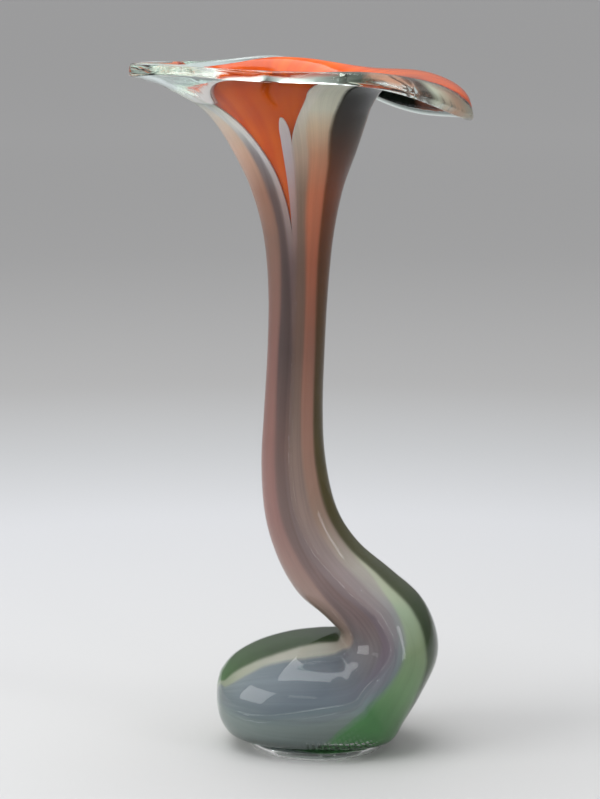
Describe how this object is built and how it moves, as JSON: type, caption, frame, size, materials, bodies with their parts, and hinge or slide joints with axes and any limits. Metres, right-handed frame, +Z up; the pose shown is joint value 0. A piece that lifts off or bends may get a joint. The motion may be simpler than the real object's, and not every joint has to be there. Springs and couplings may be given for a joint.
{
  "type": "blown glass vase",
  "caption": "Bent-neck cased glass vase: flat bulb on a clear foot, slim neck rising from one side, wide wavy mouth with one hanging lobe and a clear lip.",
  "frame": {"origin": "centre of the foot's underside, on the table", "axes": "+Z up, +X towards the hanging lobe of the mouth, the pictured front faces -Y"},
  "size_m": [0.1673, 0.1132, 0.338],
  "materials": {
    "casing": "clear crystal casing over the whole body, polished",
    "lining": "opaque orange lining, polished",
    "rim_lip": "thick clear lip with a faint sea green tint",
    "foot": "clear foot, polished",
    "cane_cream": "cream glass turning pink down the neck",
    "cane_mauve": "dark mauve glass turning blue grey on the bulb",
    "cane_blue_grey": "pale blue grey glass",
    "cane_clear_window": "clear glass that shows the lining",
    "cane_pale_stripe": "pale grey glass stripe with a soft point",
    "cane_taupe": "taupe glass",
    "cane_peach": "cream white glass turning peach down the neck",
    "cane_light_green": "pale green glass turning deep green under the bulb",
    "cane_olive": "brown glass turning olive then dark green, see-through",
    "cane_back_cream": "cream grey glass",
    "cane_back_peach": "peach glass",
    "cane_back_green": "dark green glass, see-through",
    "cane_smoke": "smoke grey glass, see-through",
    "cane_side_green": "dark green glass, see-through"
  },
  "bodies": {
    "root": {"casing": "casing", "lining": "lining", "rim_lip": "rim_lip", "foot": "foot", "cane_cream": "cane_cream", "cane_mauve": "cane_mauve", "cane_blue_grey": "cane_blue_grey", "cane_clear_window": "cane_clear_window", "cane_pale_stripe": "cane_pale_stripe", "cane_taupe": "cane_taupe", "cane_peach": "cane_peach", "cane_light_green": "cane_light_green", "cane_olive": "cane_olive", "cane_back_cream": "cane_back_cream", "cane_back_peach": "cane_back_peach", "cane_back_green": "cane_back_green", "cane_smoke": "cane_smoke", "cane_side_green": "cane_side_green"}
  },
  "joints": []
}
